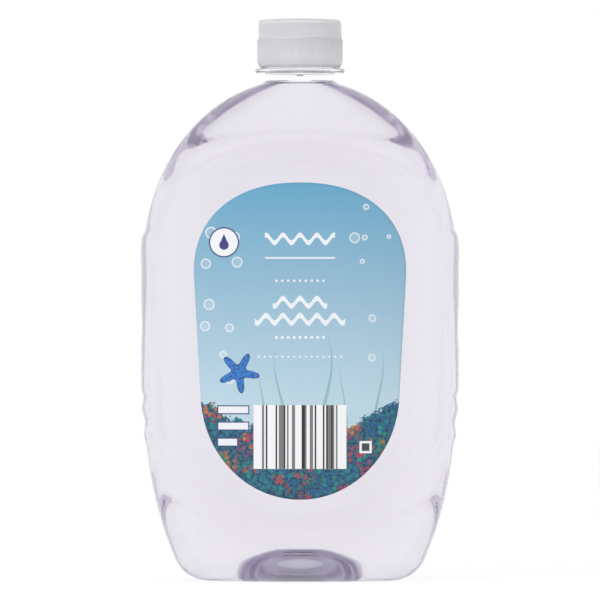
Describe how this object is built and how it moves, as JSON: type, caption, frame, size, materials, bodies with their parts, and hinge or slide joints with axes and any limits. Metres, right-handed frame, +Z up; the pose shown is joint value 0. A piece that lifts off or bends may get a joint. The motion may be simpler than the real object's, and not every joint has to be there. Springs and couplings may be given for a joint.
{
  "type": "hand soap refill pack",
  "caption": "Clear blown refill bottle full of liquid hand soap, with a sunk label panel, side grips and a ribbed screw cap on a threaded neck.",
  "frame": {"origin": "on the ground under the middle of the bottle", "axes": "+Z up along the neck's axis, front with the label towards -Y, +X to the right seen from the front"},
  "size_m": [0.1422, 0.0689, 0.25],
  "materials": {
    "clear_bottle": "clear blown PET, smooth and glossy",
    "liquid_soap": "clear liquid with a faint lilac cast",
    "printed_film": "printed film with a soft sheen, blue above fading to pale, reef colours below",
    "natural_cap": "uncoloured moulded polypropylene, milky and slightly see-through",
    "foam_liner": "white foamed disc"
  },
  "bodies": {
    "bottle": {"bottle": "clear_bottle", "hand_soap": "liquid_soap", "front_label": "printed_film"},
    "liner": {"cap_liner": "foam_liner"},
    "cap": {"screw_cap": "natural_cap"}
  },
  "joints": [
    {"name": "cap_rise", "type": "slide", "parent": "bottle", "child": "liner", "axis": [0, 0, 1], "range_m": [0, 0.0085]},
    {"name": "cap_turn", "type": "hinge", "parent": "liner", "child": "cap", "pos_m": [0, 0, 0.2287], "axis": [0, 0, 1], "range_deg": [0, 720]}
  ],
  "couplings": [
    {"joint": "cap_rise", "follows": "cap_turn", "m_per_rad": 0.00067376}
  ]
}
